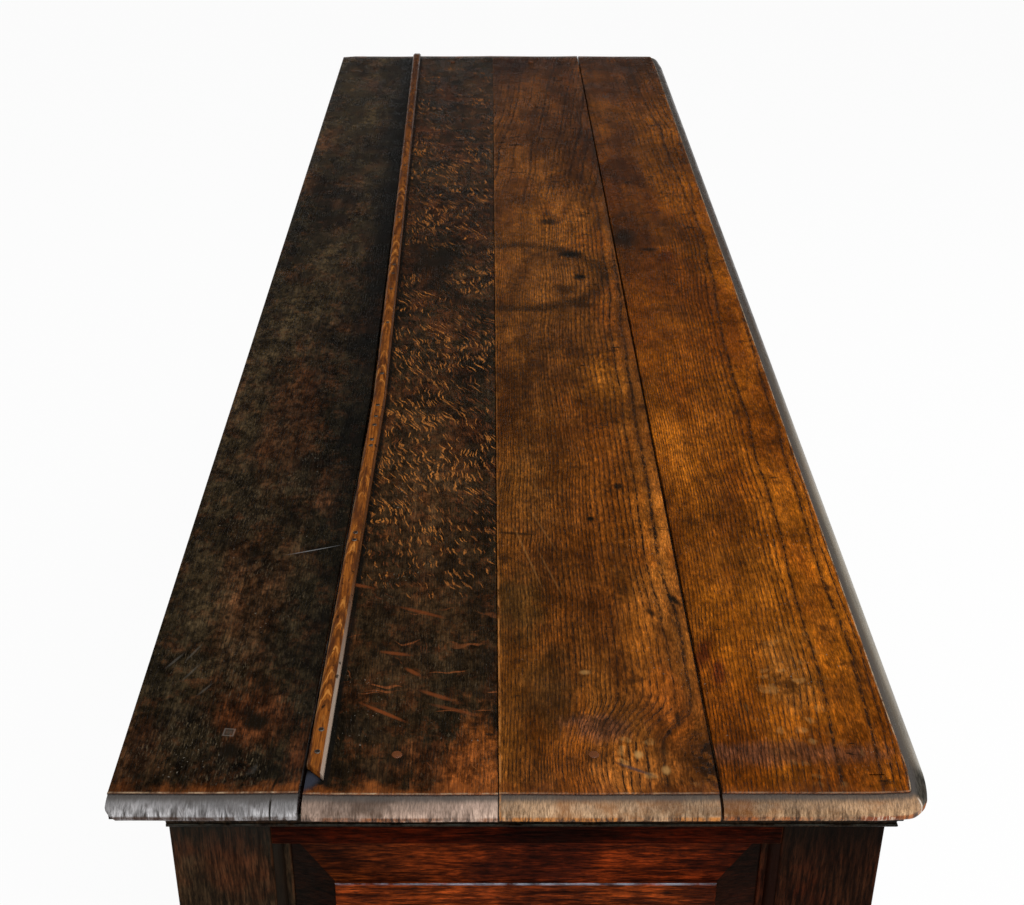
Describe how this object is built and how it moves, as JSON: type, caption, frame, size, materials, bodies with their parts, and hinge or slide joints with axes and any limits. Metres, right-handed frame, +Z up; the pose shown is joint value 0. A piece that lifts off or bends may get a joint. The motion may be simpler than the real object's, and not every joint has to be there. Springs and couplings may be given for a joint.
{
  "type": "dresser",
  "caption": "Low joined oak dresser: planked top with a nailed plate strip over drawers on slides and panelled cupboard doors on hinges.",
  "frame": {"origin": "centre of the bounding box's footprint, on the floor", "axes": "+X along the length to the right, -Y out of the front, +Z up"},
  "size_m": [1.82, 0.5338, 0.8466],
  "materials": {
    "black_oak": "waxed",
    "dark_oak": "waxed",
    "brown_oak": "waxed",
    "golden_oak": "waxed",
    "panel_oak": "waxed",
    "lining_oak": "dry",
    "iron": "rusted",
    "brass": "aged"
  },
  "bodies": {
    "carcase": {"top_board_rear": "black_oak", "top_board_second": "dark_oak", "top_board_third": "brown_oak", "top_board_front": "golden_oak", "plate_strip": "golden_oak", "plate_strip_nails": "iron", "bed_mouldings": "dark_oak", "post_front_left": "dark_oak", "post_front_right": "dark_oak", "post_rear_left": "dark_oak", "post_rear_right": "dark_oak", "front_top_rail": "dark_oak", "front_drawer_rail": "dark_oak", "front_bottom_rail": "dark_oak", "drawer_muntins": "dark_oak", "door_muntins": "dark_oak", "centre_panel": "panel_oak", "rear_rails": "lining_oak", "back_boards": "lining_oak", "left_end_rails": "dark_oak", "left_end_panels": "panel_oak", "right_end_rails": "dark_oak", "right_end_panels": "panel_oak", "floor_boards": "lining_oak", "floor_cleats": "lining_oak", "drawer_runners": "lining_oak", "oak_pegs": "brown_oak", "door_stops": "lining_oak", "door_hinge_plates": "brass"},
    "left_drawer": {"left_drawer_front": "panel_oak", "left_drawer_sides": "lining_oak", "left_drawer_back": "lining_oak", "left_drawer_bottom": "lining_oak", "left_drawer_handle_plates": "brass"},
    "left_drawer_bail_a": {"left_drawer_bail_a": "brass"},
    "left_drawer_bail_b": {"left_drawer_bail_b": "brass"},
    "middle_drawer": {"middle_drawer_front": "panel_oak", "middle_drawer_sides": "lining_oak", "middle_drawer_back": "lining_oak", "middle_drawer_bottom": "lining_oak", "middle_drawer_handle_plates": "brass"},
    "middle_drawer_bail_a": {"middle_drawer_bail_a": "brass"},
    "middle_drawer_bail_b": {"middle_drawer_bail_b": "brass"},
    "right_drawer": {"right_drawer_front": "panel_oak", "right_drawer_sides": "lining_oak", "right_drawer_back": "lining_oak", "right_drawer_bottom": "lining_oak", "right_drawer_handle_plates": "brass"},
    "right_drawer_bail_a": {"right_drawer_bail_a": "brass"},
    "right_drawer_bail_b": {"right_drawer_bail_b": "brass"},
    "left_door": {"left_door_stiles": "dark_oak", "left_door_rails": "dark_oak", "left_door_panel": "panel_oak", "left_door_hinge_leaves": "brass"},
    "left_door_catch": {"left_door_catch": "brass"},
    "right_door": {"right_door_stiles": "dark_oak", "right_door_rails": "dark_oak", "right_door_panel": "panel_oak", "right_door_hinge_leaves": "brass"},
    "right_door_catch": {"right_door_catch": "brass"}
  },
  "joints": [
    {"name": "left_drawer_slide", "type": "slide", "parent": "carcase", "child": "left_drawer", "axis": [0, -1, 0], "range_m": [0, 0.33]},
    {"name": "left_drawer_bail_a_swing", "type": "hinge", "parent": "left_drawer", "child": "left_drawer_bail_a", "pos_m": [-0.69833, -0.2599, 0.72], "axis": [-1, 0, 0], "range_deg": [0, 80]},
    {"name": "left_drawer_bail_b_swing", "type": "hinge", "parent": "left_drawer", "child": "left_drawer_bail_b", "pos_m": [-0.44833, -0.2599, 0.72], "axis": [-1, 0, 0], "range_deg": [0, 80]},
    {"name": "middle_drawer_slide", "type": "slide", "parent": "carcase", "child": "middle_drawer", "axis": [0, -1, 0], "range_m": [0, 0.33]},
    {"name": "middle_drawer_bail_a_swing", "type": "hinge", "parent": "middle_drawer", "child": "middle_drawer_bail_a", "pos_m": [-0.125, -0.2599, 0.72], "axis": [-1, 0, 0], "range_deg": [0, 80]},
    {"name": "middle_drawer_bail_b_swing", "type": "hinge", "parent": "middle_drawer", "child": "middle_drawer_bail_b", "pos_m": [0.125, -0.2599, 0.72], "axis": [-1, 0, 0], "range_deg": [0, 80]},
    {"name": "right_drawer_slide", "type": "slide", "parent": "carcase", "child": "right_drawer", "axis": [0, -1, 0], "range_m": [0, 0.33]},
    {"name": "right_drawer_bail_a_swing", "type": "hinge", "parent": "right_drawer", "child": "right_drawer_bail_a", "pos_m": [0.44833, -0.2599, 0.72], "axis": [-1, 0, 0], "range_deg": [0, 80]},
    {"name": "right_drawer_bail_b_swing", "type": "hinge", "parent": "right_drawer", "child": "right_drawer_bail_b", "pos_m": [0.69833, -0.2599, 0.72], "axis": [-1, 0, 0], "range_deg": [0, 80]},
    {"name": "left_door_hinge", "type": "hinge", "parent": "carcase", "child": "left_door", "pos_m": [-0.82875, -0.2368, 0.3995], "axis": [0, 0, -1], "range_deg": [0, 110]},
    {"name": "left_door_catch_turn", "type": "hinge", "parent": "left_door", "child": "left_door_catch", "pos_m": [-0.34717, -0.2331, 0.3995], "axis": [0, -1, 0], "range_deg": [0, 90]},
    {"name": "right_door_hinge", "type": "hinge", "parent": "carcase", "child": "right_door", "pos_m": [0.82875, -0.2368, 0.3995], "axis": [0, 0, 1], "range_deg": [0, 110]},
    {"name": "right_door_catch_turn", "type": "hinge", "parent": "right_door", "child": "right_door_catch", "pos_m": [0.34717, -0.2331, 0.3995], "axis": [0, 1, 0], "range_deg": [0, 90]}
  ]
}
